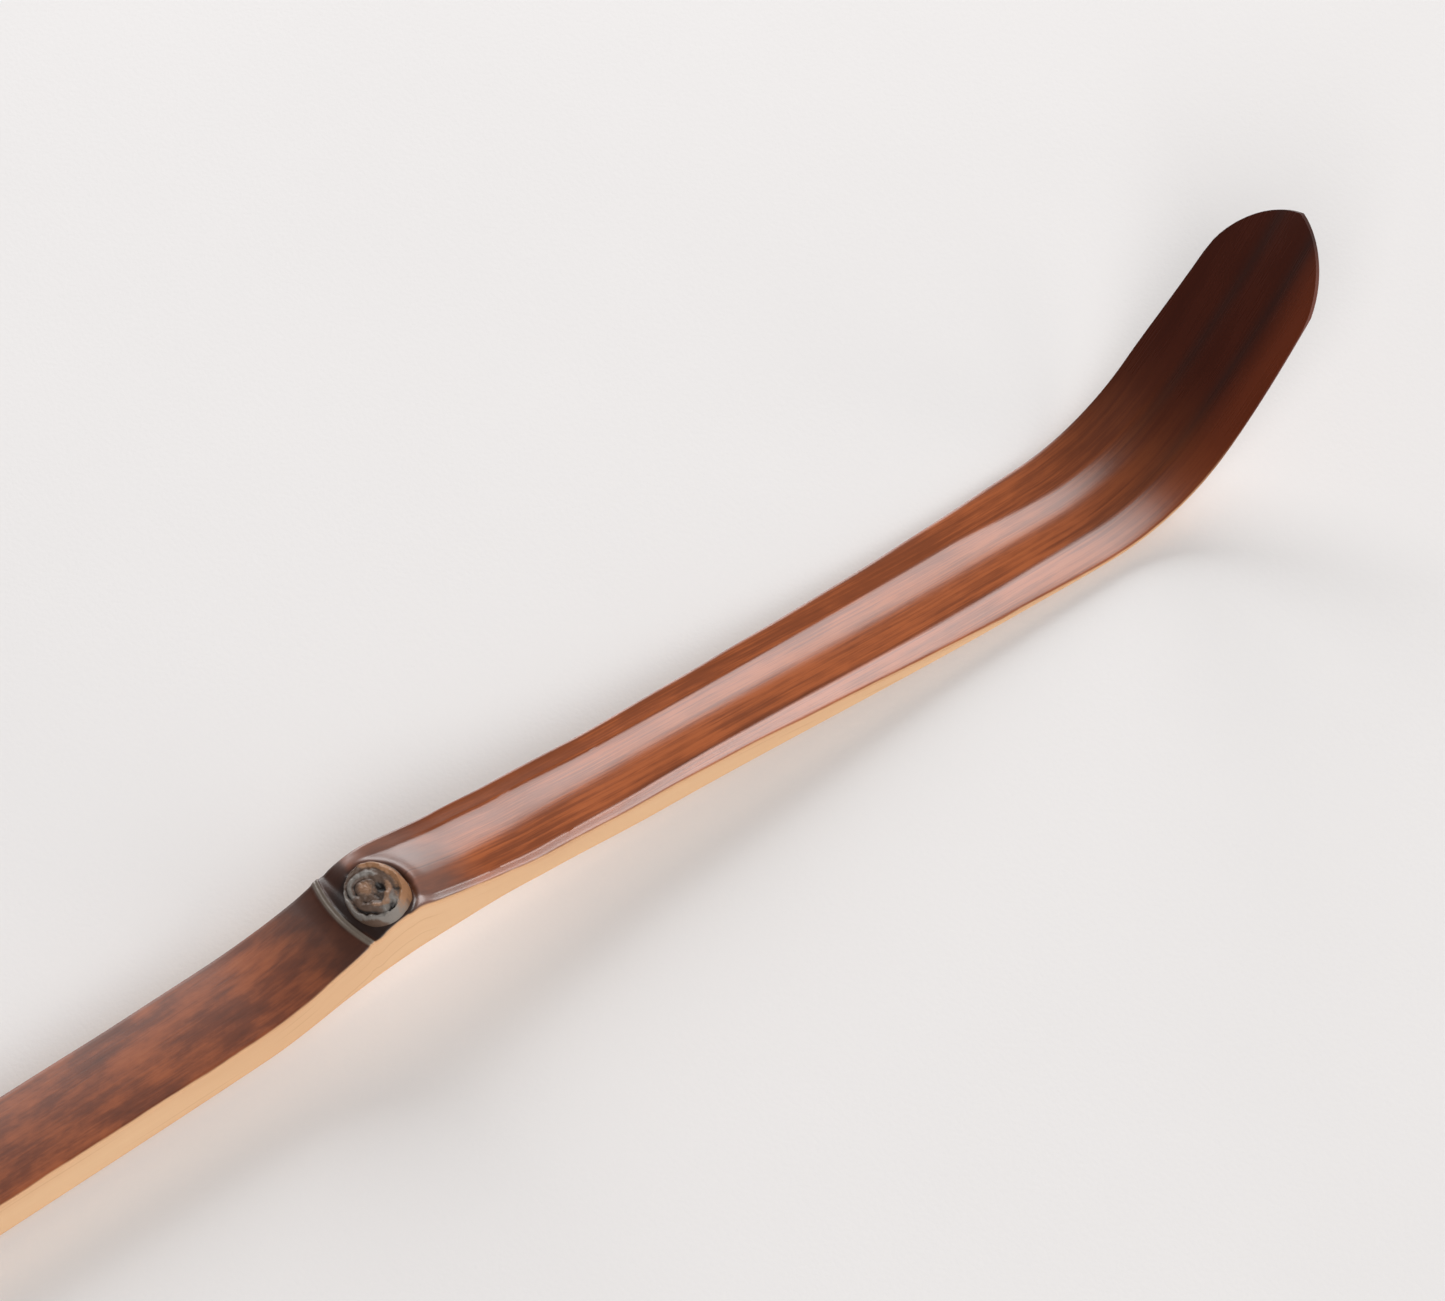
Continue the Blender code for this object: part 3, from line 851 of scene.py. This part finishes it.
@dataclass(frozen=True)
class SmokedBamboo:
    """Smoked bamboo: a satin red-brown skin over pale flesh, told apart by the depth below it.

    Places and spans are in millimetres, along from the sheath scar and across from the middle.
    """

    bud: BudPlace

    umber: Colour = (0.085, 0.022, 0.0095)
    chestnut: Colour = (0.160, 0.040, 0.015)
    russet: Colour = (0.30, 0.078, 0.025)
    amber: Colour = (0.40, 0.125, 0.042)
    stem_tan: Colour = (0.44, 0.118, 0.036)
    # Near black: the soot of the node's band, the ridge line and the blade's streaks, and painted
    # shade in the ring round the bud.
    soot_and_shade: Colour = (0.018, 0.010, 0.008)
    smoke: Colour = (0.055, 0.020, 0.012)
    ash: Colour = (0.175, 0.142, 0.112)
    # Painted shade: the dark brown of the crevice ahead of the bud.
    crevice_shade: Colour = (0.085, 0.022, 0.004)
    # Painted sheen: a pale grey-lilac patch that stands for the highlight past the bud, where the
    # far groove begins.
    painted_sheen: Colour = (0.20, 0.125, 0.105)
    # Partly the blade's own darker skin, partly painted shade on a face turned away from the light.
    blade_dark_and_shade: Colour = (0.036, 0.0050, 0.0013)
    blade_red: Colour = (0.125, 0.021, 0.0040)
    flesh: Colour = (0.66, 0.375, 0.195)
    flesh_pale: Colour = (0.75, 0.50, 0.29)
    flesh_tinge: Colour = (0.72, 0.34, 0.16)
    fibre: Colour = (0.46, 0.22, 0.10)
    valley_darkening: Colour = (0.3, 0.24, 0.22)
    untinted: Colour = (1.0, 1.0, 1.0)

    grain: Pattern = Pattern((0.16, 5.0, 5.0), 4.0, 0.6)
    patches: Pattern = Pattern((0.12, 0.5, 0.5))
    clouds: Pattern = Pattern((0.13, 0.33, 0.33), 4.0, 0.62)
    mottle: Pattern = Pattern((0.55, 1.3, 1.3), 4.0, 0.6)
    fibres: Pattern = Pattern((0.035, 2.8, 2.8), 5.0, 0.68)
    threads: Pattern = Pattern((0.3, 8.0, 8.0), 3.0, 0.6)
    long_threads: Pattern = Pattern((0.07, 8.0, 8.0), 3.0, 0.6)
    specks: Pattern = Pattern((2.2, 6.0, 6.0), 3.0, 0.6)
    cut_edge: Pattern = Pattern((0.5, 1.0, 2.0))
    soot_edge: Pattern = Pattern((0.8, 1.2, 1.2))
    flesh_patches: Pattern = Pattern((0.05, 0.4, 0.4), 2.0)
    coarse_bundles: Pattern = Pattern((0.035, 2.6, 2.6))
    fine_bundles: Pattern = Pattern((0.06, 6.5, 6.5))

    stem_span: Span = (5.0, 13.0)
    stem_grey: Span = (30.0, 12.0)
    far_rim_grey: Span = (1.8, 3.8)
    widening: Span = (26.0, 70.0)
    rim_widening: Span = (14.0, 76.0)
    valley_in: Span = (9.0, 24.0)
    valley_out: Span = (84.0, 70.0)
    blade_span: Span = (62.0, 88.0)
    blade_red_side: Span = (-1.8, -4.8)
    blade_polish: Span = (70.0, 88.0)
    blade_smooth: Span = (60.0, 78.0)
    handle_satin: Span = (0.0, -6.0)
    smoke_in: Span = (-7.5, -0.8)
    smoke_out: Span = (2.6, 2.0)
    # Where the painted sheen past the bud lies.
    sheen_reach: Span = (9.0, 4.0)
    sheen_in: Span = (1.0, 3.2)
    band_fade: Span = (0.8, 3.0)
    # Reach of the dark ring round the bud, partly soot and partly painted shade in its crevice.
    bud_soot_and_shade_reach: Span = (3.0, 2.4)
    # Where the painted shade in the crevice ahead of the bud lies.
    crevice_shade_reach: Span = (2.3, 2.6)
    crevice_shade_in: Span = (3.6, 4.8)
    ridge_out: Span = (12.5, 7.0)
    ridge_in: Span = (4.0, 5.0)
    bared_span: Span = (0.1, 1.0)
    flesh_out: Span = (88.0, 74.0)
    flesh_warm: Span = (30.0, 72.0)
    coarse_span: Span = (0.3, 0.12)
    fine_span: Span = (0.4, 0.15)
    fine_depth: Span = (1.1, 0.1)
    tinge_depth: Span = (0.6, 0.05)

    skin_roughness: float = 0.30
    flesh_roughness: float = 0.55
    relief: float = 0.014 * MM
    cut_depth: float = 0.02
    cut_ragged: float = 0.07

    def material(self) -> bpy.types.Material:
        """The finish of the whole strip.

        Returns:
            The material.
        """
        graph = Graph("smoked_bamboo_strip", {"Metallic": 0.0, "IOR": 1.5})
        place, along, across, depth = graph.attribute("strip")
        grain = graph.noise(place, self.grain)
        read = Reading(graph, place, along, across, depth, grain)
        edge = read.noise(self.cut_edge) * self.cut_ragged + self.cut_depth
        bared = graph.step(depth / edge, self.bared_span)
        showing = bared * read.lengthwise(self.flesh_out)
        colour = graph.lay(self.skin(read), self.flesh_colour(read), showing)
        polish = read.lengthwise(self.blade_polish) - read.lengthwise(self.handle_satin)
        gloss = self.skin_roughness + read.noise(self.patches) * 0.08 + grain * 0.06
        gloss = gloss - polish * 0.1
        roughness = gloss + (self.flesh_roughness - gloss) * bared
        height = grain * 0.5 + read.noise(self.long_threads) * 0.35
        height = height + read.noise(self.specks) * 0.15
        height = height * (1.0 - read.lengthwise(self.blade_smooth) * 0.6)
        return graph.finish({"Base Color": colour, "Roughness": roughness}, height, self.relief)

    def skin(self, read: Reading) -> Wire:
        """The skin's colour.

        Args:
            read: What the finish reads on the strip.

        Returns:
            The wire that carries the colour.
        """
        graph = read.graph
        clouds = read.noise(self.clouds)
        tone = clouds * 0.72 + read.noise(self.mottle) * 0.2 + read.grain * 0.16
        stops = [(0.36, self.umber), (0.5, self.chestnut), (0.62, self.russet), (0.78, self.amber)]
        stem = read.lengthwise(self.stem_span) * 0.85
        colour = graph.lay(graph.ramp(tone, stops), self.stem(read, clouds), stem)
        colour = graph.lay(colour, self.blade(read), read.lengthwise(self.blade_span))
        colour = graph.lay(colour, self.valley_line(read), 1.0, Blend.STAIN)
        return self.node_marks(read, colour)

    def stem(self, read: Reading, clouds: Wire) -> Wire:
        """The stem's colour: tan with smoke-dark fibres, darker at its +Y rim and the node.

        Args:
            read: What the finish reads on the strip.
            clouds: The skin's clouds.

        Returns:
            The wire that carries the colour.
        """
        grey = read.crosswise(self.far_rim_grey) * 0.06 + read.lengthwise(self.stem_grey) * 0.035
        tone = read.noise(self.fibres) * 0.55 + read.noise(self.threads) * 0.25
        tone = tone + clouds * 0.27 - grey
        stops = [(0.36, self.umber), (0.47, self.chestnut), (0.58, self.stem_tan)]
        colour = read.graph.ramp(tone, [*stops, (0.74, self.amber)])
        return read.graph.lay(colour, self.stem_tan, 0.35)

    def valley_line(self, read: Reading) -> Wire:
        """A dark line along the bottom of the near groove.

        Args:
            read: What the finish reads on the strip.

        Returns:
            The wire that carries the stain.
        """
        half_width = 4.05 + read.lengthwise(self.widening) * 1.9
        rim = 1.15 + read.lengthwise(self.rim_widening) * 2.4
        line = read.graph.band(read.across, rim - half_width + 0.15, 0.05, 0.5)
        line = line * read.lengthwise(self.valley_in) * read.lengthwise(self.valley_out)
        return read.graph.lay(self.untinted, self.valley_darkening, line * 0.9)

    def blade(self, read: Reading) -> Wire:
        """The blade's colour: nearly black, partly a darker skin and partly painted shade on a face
        turned away from the light, with two darker streaks, and redder at its -Y edge.

        Args:
            read: What the finish reads on the strip.

        Returns:
            The wire that carries the colour.
        """
        graph, patches = read.graph, read.noise(self.patches)
        red = read.crosswise(self.blade_red_side) * 0.75
        red = red + patches * 0.35 + (read.grain - 0.5) * 0.15
        # The near-black base is partly painted shade.
        colour = graph.lay(self.blade_dark_and_shade, self.blade_red, red)
        streaks = graph.band(read.across, 1.6, 0.3, 1.5) + graph.band(read.across, -2.0, 0.3, 1.3)
        return graph.lay(colour, self.soot_and_shade, streaks * (0.35 + patches * 0.4))

    def node_marks(self, read: Reading, colour: Wire) -> Wire:
        """Lays the node's marks over the skin.

        They are the smoke before the scar, a painted grey-lilac sheen past the bud, the sooty band,
        a dark ring round the bud, partly soot and partly painted shade in the crevice at its foot,
        painted shade in the crevice ahead of the bud, the dark line on the ridge, and the ashen
        scar with its crack.

        Args:
            read: What the finish reads on the strip.
            colour: The skin's colour.

        Returns:
            The wire that carries the colour.
        """
        graph, bud, along, across = read.graph, self.bud, read.along, read.across
        ragged = read.noise(self.soot_edge) * 2.0 - 1.0
        smoke = graph.step(along + ragged * 1.4, self.smoke_in) * read.lengthwise(self.smoke_out)
        colour = graph.lay(colour, self.smoke, smoke * 0.9)
        ahead = along - bud.ahead_of_scar / MM
        aside = (across + bud.off_centre / MM) / bud.stretch
        from_bud = (ahead**2.0 + aside**2.0).root()
        # Painted sheen past the bud.
        painted_sheen = graph.step(from_bud + ragged * 0.8, self.sheen_reach)
        colour = graph.lay(colour, self.painted_sheen, painted_sheen * read.lengthwise(self.sheen_in) * 0.62)
        band = graph.band(along + ragged * 0.05, 1.25, 0.95, 0.6)
        band = band * (1.0 - read.crosswise(self.band_fade) * 0.55)
        # A dark ring round the bud: soot, and painted shade in the crevice at its foot.
        bud_soot_and_shade = graph.step(from_bud + ragged * 0.2, self.bud_soot_and_shade_reach)
        colour = graph.lay(colour, self.soot_and_shade, band.at_least(bud_soot_and_shade) * 0.92)
        # Painted shade in the crevice ahead of the bud.
        crevice_shade = bud_soot_and_shade * graph.step(from_bud, self.crevice_shade_reach) * read.lengthwise(self.crevice_shade_in)
        colour = graph.lay(colour, self.crevice_shade, crevice_shade)
        ridge = graph.band(across + 0.35 + ragged * 0.12, 0.0, 0.05, 0.2)
        ridge = ridge * read.lengthwise(self.ridge_out) * read.lengthwise(self.ridge_in)
        colour = graph.lay(colour, self.soot_and_shade, ridge * 0.55)
        lip = graph.band(along, -0.02, 0.24, 0.14) * (0.9 + ragged * 0.2)
        crack = graph.band(along + ragged * 0.03, 0.03, 0.0, 0.06)
        return graph.lay(graph.lay(colour, self.ash, lip), self.smoke, crack * 0.6)

    def flesh_colour(self, read: Reading) -> Wire:
        """The flesh's colour: pale, with long darker bundles that crowd just under the skin.

        Args:
            read: What the finish reads on the strip.

        Returns:
            The wire that carries the colour.
        """
        graph = read.graph
        pale = graph.lay(self.flesh, self.flesh_pale, read.noise(self.flesh_patches))
        coarse = read.bundles(self.coarse_bundles, self.coarse_span)
        fine = read.bundles(self.fine_bundles, self.fine_span)
        fine = fine * graph.step(read.depth, self.fine_depth)
        marked = (coarse * 0.25).at_least(fine * 0.22) + (read.grain - 0.5) * 0.22
        tinge = graph.step(read.depth, self.tinge_depth) * 0.25
        tinge = tinge + read.lengthwise(self.flesh_warm) * 0.15
        return graph.lay(graph.lay(pale, self.fibre, marked), self.flesh_tinge, tinge)


@dataclass(frozen=True)
class BudBark:
    """The branch bud's dry husks: ashen and tan crests, an orange-brown collar, and gaps darkened
    by soot and painted shade.
    """

    # Near black: soot and painted shade in the low gaps between the husks.
    soot_and_shade: Colour = (0.016, 0.011, 0.009)
    bark: Colour = (0.115, 0.070, 0.048)
    ash: Colour = (0.215, 0.195, 0.175)
    tan: Colour = (0.30, 0.165, 0.095)
    collar: Colour = (0.36, 0.175, 0.080)
    patches: Pattern = Pattern((1.2, 1.2, 0.6), 4.0, 0.6)
    crumbs: Pattern = Pattern((5.5, 5.5, 2.0), 4.0, 0.65)
    ash_from: Span = (0.25, 0.75)
    tan_from: Span = (0.3, 0.8)
    collar_from: Span = (0.3, 0.7)
    gap_below: Span = (0.46, 0.14)
    cover: float = 0.9
    roughness: float = 0.5
    relief: float = 0.04 * MM

    def material(self) -> bpy.types.Material:
        """The finish of the bud.

        Returns:
            The material.
        """
        graph = Graph("bud_bark", {"Metallic": 0.0, "IOR": 1.5})
        husk, _, _, relief = graph.attribute("husk")
        _, ashen, core, collar = graph.attribute("husk_tone")
        patches = graph.noise(husk, self.patches)
        crumbs = graph.noise(husk, self.crumbs)
        wear = (patches - 0.5) * 0.9 + (crumbs - 0.5) * 0.5
        colour = self.bark
        for share, tone, span in (
            (ashen, self.ash, self.ash_from),
            (core, self.tan, self.tan_from),
            (collar, self.collar, self.collar_from),
        ):
            colour = graph.lay(colour, tone, graph.step(share + wear, span) * self.cover)
        # Soot and painted shade, darkest where the husks' relief is lowest.
        gaps = graph.step(relief + (crumbs - 0.5) * 0.3, self.gap_below)
        colour = graph.lay(colour, self.soot_and_shade, gaps)
        roughness = self.roughness + (crumbs - 0.5) * 0.2
        height = crumbs * 0.7 + patches * 0.3
        return graph.finish({"Base Color": colour, "Roughness": roughness}, height, self.relief)


@dataclass
class CarvedStrip:
    """The strip itself, carved from a flat blank with close rows at the scar and the node."""

    strip: Strip
    finish: SmokedBamboo
    columns: int = 52
    wall_cuts: int = 4
    evenness: float = 0.65
    fine_from: float = -4.0 * MM
    scar_from: float = -0.6 * MM
    scar_to: float = 1.4 * MM
    fine_to: float = 14.0 * MM
    handle_step: float = 0.75 * MM
    node_step: float = 0.12 * MM
    scar_step: float = 0.05 * MM
    stem_step: float = 0.5 * MM
    sharp: float = math.radians(40)

    def rows(self) -> np.ndarray:
        """Spaces the rows of the blank.

        Returns:
            Their lengths along the strip.
        """
        sizes = self.strip.sizes
        start = -sizes.handle_length
        places = [np.array([start])]
        for end, step in (
            (self.fine_from, self.handle_step),
            (self.scar_from, self.node_step),
            (self.scar_to, self.scar_step),
            (self.fine_to, self.node_step),
            (sizes.tip_at, self.stem_step),
        ):
            count = round((end - start) / step)
            places.append(start + (end - start) * np.arange(1, count + 1) / count)
            start = end
        return np.concatenate(places)

    def blank(self, rows: int) -> bpy.types.Object:
        """A flat slab, two units square and one thick, with cuts round its walls.

        Args:
            rows: How many rows of faces it has along X.

        Returns:
            The slab.
        """
        deselect_all()
        bpy.ops.mesh.primitive_grid_add(
            x_subdivisions=rows, y_subdivisions=self.columns, size=2
        )
        slab = bpy.context.object
        bpy.ops.object.mode_set(mode="EDIT")
        bpy.ops.mesh.select_all(action="SELECT")
        down = {"value": (0.0, 0.0, -1.0)}
        bpy.ops.mesh.extrude_region_move(TRANSFORM_OT_translate=down)
        bpy.ops.mesh.select_all(action="DESELECT")
        bpy.ops.mesh.select_mode(type="EDGE")
        bm = bmesh.from_edit_mesh(slab.data)
        for edge in bm.edges:
            first, second = edge.verts
            edge.select_set(abs(first.co.z - second.co.z) > 0.5)
        bmesh.update_edit_mesh(slab.data)
        bpy.ops.mesh.subdivide(number_cuts=self.wall_cuts)
        bpy.ops.object.mode_set(mode="OBJECT")
        return slab

    def build(self) -> bpy.types.Object:
        """Carves the blank into the strip.

        Returns:
            The piece.
        """
        rows = self.rows()
        piece = self.blank(len(rows) - 1)
        piece.name = piece.data.name = "scoop_strip"
        flat = coordinates(piece.data)
        at = np.interp(0.5 * (flat[:, 0] + 1), np.linspace(0, 1, len(rows)), rows)
        even = np.clip(flat[:, 1], -1.0, 1.0)
        share = (1 - self.evenness) * np.sin(0.5 * math.pi * even) + self.evenness * even
        points, told = self.strip.carry(at, share, flat[:, 2] ** 2)
        set_coordinates(piece.data, points)
        tell(piece.data, "strip", told)
        return settle(piece, self.finish.material(), self.sharp)


@dataclass(frozen=True)
class HuskCentre:
    """The middle of one husk, in millimetres from the bud's own middle, and its stretches."""

    u: float
    v: float
    u_stretch: float = 1.0
    v_stretch: float = 1.0

    def distance(self, u: np.ndarray, v: np.ndarray) -> np.ndarray:
        """How far places on the bud lie from this middle."""
        return np.hypot(self.u_stretch * (u - self.u), self.v_stretch * (v - self.v))


@dataclass
class BranchBud:
    """The branch bud: dry husks round an off-centre core, sunk in the node and leaning back."""

    strip: Strip
    finish: BudBark
    height: float = 0.82 * MM
    root: float = 1.1 * MM
    rings: int = 36
    segments: int = 128
    rim_turn: float = 0.55 * MM
    rim_from: float = 0.9
    husks_to: float = 0.94
    flattening: float = 0.3
    sharp: float = math.radians(50)
    scale: HuskCentre = HuskCentre(-0.2, 0.15)
    core: HuskCentre = HuskCentre(-0.35, 0.32)
    eye: HuskCentre = HuskCentre(0.52, -0.15, u_stretch=1.25)
    curl: HuskCentre = HuskCentre(0.25, -1.75, v_stretch=1.15)

    def disc(self) -> bpy.types.Object:
        """A disc of even rings with a poked middle and a turned-down rim.

        Returns:
            The disc.
        """
        radius = self.strip.bud.radius
        deselect_all()
        bpy.ops.mesh.primitive_circle_add(
            vertices=self.segments, radius=radius, fill_type="NGON"
        )
        disc = bpy.context.object
        bpy.ops.object.mode_set(mode="EDIT")
        bpy.ops.mesh.select_all(action="SELECT")
        ring_width = radius / (self.rings + 1)
        for _ in range(self.rings):
            bpy.ops.mesh.inset(thickness=ring_width, depth=0.0)
        bpy.ops.mesh.poke()
        bpy.ops.mesh.select_mode(type="EDGE")
        bpy.ops.mesh.select_all(action="DESELECT")
        bm = bmesh.from_edit_mesh(disc.data)
        for edge in bm.edges:
            edge.select_set(edge.is_boundary)
        bmesh.update_edit_mesh(disc.data)
        down = {"value": (0.0, 0.0, -self.root)}
        bpy.ops.mesh.extrude_region_move(TRANSFORM_OT_translate=down)
        bpy.ops.mesh.edge_face_add()
        bpy.ops.object.mode_set(mode="OBJECT")
        return disc

    def husks(self, u: np.ndarray, v: np.ndarray) -> tuple[np.ndarray, np.ndarray]:
        """The relief of the husks and where each of their colours lies.

        Args:
            u: Places towards the blade from the bud's middle, in millimetres.
            v: Places towards +Y from it, in millimetres.

        Returns:
            The relief in millimetres, and the shares of ash, tan and collar brown.
        """
        turn, reach = np.arctan2(v, u), np.hypot(u, v)
        crumbs = [Vector((1.4 * a, 1.4 * b, 0.3)) for a, b in zip(u, v)]
        crumble = np.array([noise.fractal(place, 1.0, 2.0, 4) for place in crumbs])
        wander = 0.14 * np.sin(2 * turn + 0.6) + 0.07 * np.sin(5 * turn) + 0.1 * crumble
        handle_side = ease(0.5 - 0.9 * np.cos(turn - 0.35))
        outer = bell(reach + wander, 2.1, 0.2)
        outer_gap = bell(reach + wander, 1.76, 0.13) * (0.2 + 0.8 * handle_side)
        from_scale = self.scale.distance(u, v) + 0.8 * wander
        scale = bell(from_scale, 1.32, 0.24)
        scale_gap = bell(from_scale, 0.95, 0.1) * (0.35 + 0.65 * ease(0.5 + np.sin(turn - 0.7)))
        core = bell(self.core.distance(u, v) + 0.5 * wander, 0.0, 0.62)
        eye = bell(self.eye.distance(u, v), 0.0, 0.3)
        from_curl = self.curl.distance(u, v)
        curl = bell(from_curl + wander, 0.45, 0.2)
        curl_hole = bell(from_curl, 0.0, 0.25)
        crests = 0.16 * outer + 0.12 * scale + 0.1 * core + 0.12 * curl + 0.15 * crumble
        gaps = 0.15 * outer_gap + 0.13 * scale_gap + 0.14 * curl_hole + 0.3 * eye
        ashen = outer * handle_side + scale * ease(np.sin(turn - 0.2))
        ashen = ashen + 0.8 * bell(from_curl, 0.4, 0.6)
        tan = core + scale * ease(-np.sin(turn - 0.4))
        collar = np.clip(outer + 0.5 * bell(reach, 1.8, 0.3), 0, 1)
        collar = collar * ease(0.2 + np.cos(turn - 0.1))
        return crests - gaps, np.stack([ashen, tan, collar], axis=-1)

    def build(self) -> bpy.types.Object:
        """Shapes the disc into the bud and sets it on the node.

        Returns:
            The piece.
        """
        bud = self.strip.bud
        piece = self.disc()
        piece.name = piece.data.name = "branch_bud"
        flat = coordinates(piece.data)
        u, v = flat[:, 0] / MM, flat[:, 1] / MM
        relief, tone = self.husks(u, v)
        share = np.clip(np.hypot(flat[:, 0], flat[:, 1]) / bud.radius, 0.0, 1.0)
        dome = self.height * (1 - self.flattening * share**2)
        dome = dome - self.rim_turn * ease((share - self.rim_from) / (1 - self.rim_from))
        shown = 1 - ease((share - self.husks_to) / (1 - self.husks_to))
        rooted = flat[:, 2] < -0.5 * self.root
        z = np.where(rooted, -self.root, dome + relief * MM * shown)
        shaped = np.stack([flat[:, 0], flat[:, 1] * bud.stretch, z], axis=-1)
        tell(piece.data, "husk", np.stack([u, v, 0.5 + relief / 0.4], axis=-1))
        tell(piece.data, "husk_tone", tone)
        aside = -2 * bud.off_centre / self.strip.sizes.node_width
        seat, _ = self.strip.carry(*np.array([[bud.ahead_of_scar], [aside], [0.0]]))
        leaned = np.array(Matrix.Rotation(-bud.lean, 3, "Y"))
        set_coordinates(piece.data, shaped @ leaned.T + seat[0])
        return settle(piece, self.finish.material(), self.sharp)


@dataclass
class Softbox:
    """A square area light that faces the scoop."""

    name: str
    direction: Colour
    distance: float
    width: float
    watts: float
    colour: Colour = (1.0, 1.0, 1.0)

    def build(self, target: Vector) -> bpy.types.Object:
        """Hangs the light.

        Args:
            target: The point that it faces.

        Returns:
            The light.
        """
        outward = Vector(self.direction).normalized()
        deselect_all()
        bpy.ops.object.light_add(type="AREA", location=target + self.distance * outward)
        lamp = bpy.context.object
        lamp.name = self.name
        lamp.rotation_euler = outward.to_track_quat("Z", "Y").to_euler()
        lamp.data.shape = "SQUARE"
        lamp.data.size = self.width
        lamp.data.energy = self.watts
        lamp.data.color = self.colour
        LOG.info("%s: %.1f W", self.name, self.watts)
        return lamp


@dataclass
class Studio:
    """The pale floor, the softboxes, the dim room round them and the camera."""

    floor_width: float = 6.0
    floor_colour: Colour = (0.88, 0.86, 0.855)
    floor_shade: float = 0.95
    floor_clouds: Pattern = Pattern((22.0, 22.0, 22.0), 4.0)
    floor_weave: Pattern = Pattern((2500.0, 2500.0, 2500.0), 2.0)
    weave_height: float = 0.02 * MM
    room_colour: Colour = (0.10, 0.10, 0.105)
    softboxes: list[Softbox] = field(
        default_factory=lambda: [
            Softbox("window", (0.394, 0.72, 0.34), distance=0.7, width=0.5, watts=5.1),
            Softbox(
                "front_fill", (0.5, -0.8, 0.35), distance=0.9, width=0.6, watts=4.0,
                colour=(1.0, 0.96, 0.9),
            ),
            Softbox("side_fill", (-0.5, -0.62, 0.7), distance=1.0, width=0.6, watts=6.0),
        ]
    )
    camera_place: Colour = (-131.28 * MM, -198.81 * MM, 325.70 * MM)
    camera_azimuth: float = math.radians(38.8)
    camera_elevation: float = math.radians(51)
    sensor_width: float = 36.0
    lens: float = 134.53
    clip_start: float = 10.0 * MM

    def build(self) -> None:
        """Builds the floor, the room, the lights and the camera."""
        self.build_floor()
        self.build_room()
        low, high = (Vector(corner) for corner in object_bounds())
        for softbox in self.softboxes:
            softbox.build(0.5 * (low + high))
        self.build_camera()

    def build_floor(self) -> bpy.types.Object:
        """The floor, a wide plain cloth under the scoop.

        Returns:
            The floor.
        """
        deselect_all()
        bpy.ops.mesh.primitive_plane_add(size=self.floor_width)
        floor = bpy.context.object
        floor.name = "floor"
        graph = Graph("floor_cloth", {"Roughness": 0.9, "Specular IOR Level": 0.1})
        place = graph.node("ShaderNodeTexCoord", output="Object")
        shade = tuple(self.floor_shade * part for part in self.floor_colour)
        colour = graph.lay(shade, self.floor_colour, graph.noise(place, self.floor_clouds))
        weave = graph.noise(place, self.floor_weave)
        cloth = graph.finish({"Base Color": colour}, weave, self.weave_height)
        floor.data.materials.append(cloth)
        floor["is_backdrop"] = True
        return floor

    def build_room(self) -> None:
        """The even dim light of the room."""
        world = bpy.data.worlds.new("room")
        world.use_nodes = True
        background = world.node_tree.nodes["Background"]
        background.inputs["Color"].default_value = (*self.room_colour, 1.0)
        background.inputs["Strength"].default_value = 1.0
        bpy.context.scene.world = world
        bpy.context.scene.view_settings.view_transform = "Standard"

    def build_camera(self) -> bpy.types.Object:
        """The camera, level and looking down across the scoop.

        Returns:
            The camera.
        """
        azimuth, elevation = self.camera_azimuth, self.camera_elevation
        level = math.cos(elevation)
        ahead = Vector((math.sin(azimuth) * level, math.cos(azimuth) * level, -math.sin(elevation)))
        deselect_all()
        bpy.ops.object.camera_add(location=self.camera_place)
        camera = bpy.context.object
        camera.name = "camera"
        camera.rotation_euler = ahead.to_track_quat("-Z", "Y").to_euler()
        camera.data.sensor_width = self.sensor_width
        camera.data.lens = self.lens
        camera.data.clip_start = self.clip_start
        bpy.context.scene.camera = camera
        return camera


def main() -> None:
    logging.basicConfig(level=logging.INFO, format="%(name)s: %(message)s")
    frame_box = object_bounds()
    bud = BudPlace()
    strip = Strip(StripSizes(), bud, KnifeWork(), cut_end=frame_box[0][0])
    CarvedStrip(strip, SmokedBamboo(bud)).build()
    BranchBud(strip, BudBark()).build()
    Studio().build()


if __name__ == "__main__":
    main()
